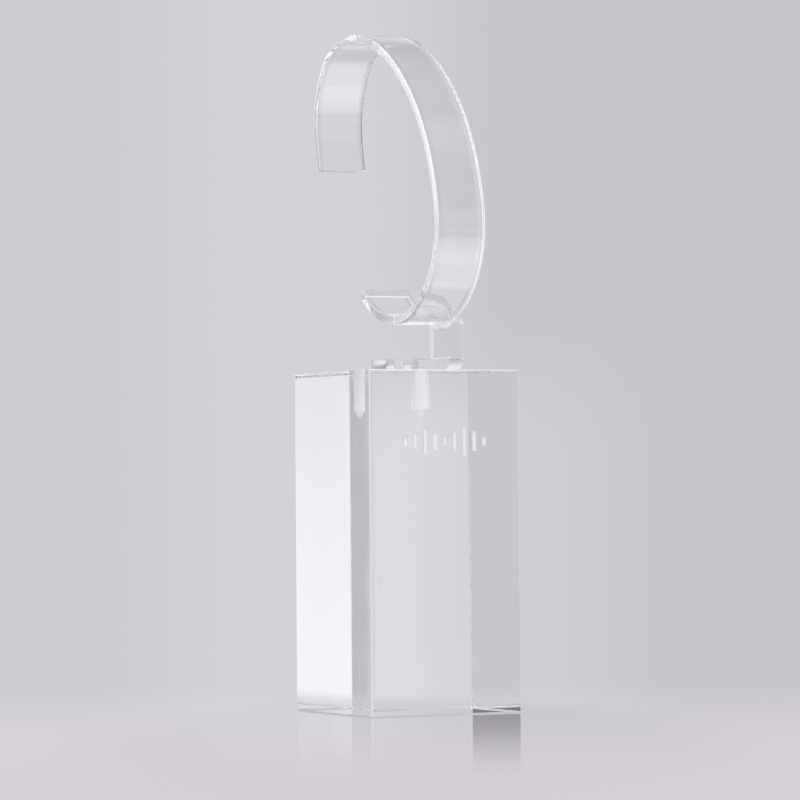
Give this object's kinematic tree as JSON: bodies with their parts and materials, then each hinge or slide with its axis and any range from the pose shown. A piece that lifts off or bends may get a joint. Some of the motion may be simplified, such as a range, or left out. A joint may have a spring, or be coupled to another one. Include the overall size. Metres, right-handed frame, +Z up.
{
  "type": "display stand",
  "caption": "Clear acrylic display stand: a square block with a swivelling, open C-shaped ring on a bent foot, to carry a closed strap or band.",
  "frame": {"origin": "centre of the block's underside, on the surface the stand rests on", "axes": "+Z up; +X along the ring's axis, from its free edge to the post; +Y to the side the C opens on"},
  "size_m": [0.04, 0.0661, 0.165],
  "materials": {
    "cast_acrylic": "crystal clear cast acrylic, diamond polished on every face and bevel, with one frosted engraving",
    "sheet_acrylic": "clear acrylic sheet, heat bent, with polished edges",
    "rod_acrylic": "clear acrylic rod, lightly frosted where it was turned",
    "cured_adhesive": "clear cured adhesive with a few trapped bubbles"
  },
  "bodies": {
    "base": {"base_block": "cast_acrylic"},
    "head": {"foot_bracket": "sheet_acrylic", "display_ring": "sheet_acrylic", "swivel_pin": "rod_acrylic", "ring_bond": "cured_adhesive"}
  },
  "joints": [
    {"name": "head_swivel", "type": "hinge", "parent": "base", "child": "head", "pos_m": [0, 0, 0.0816], "axis": [0, 0, 1], "continuous": true}
  ]
}
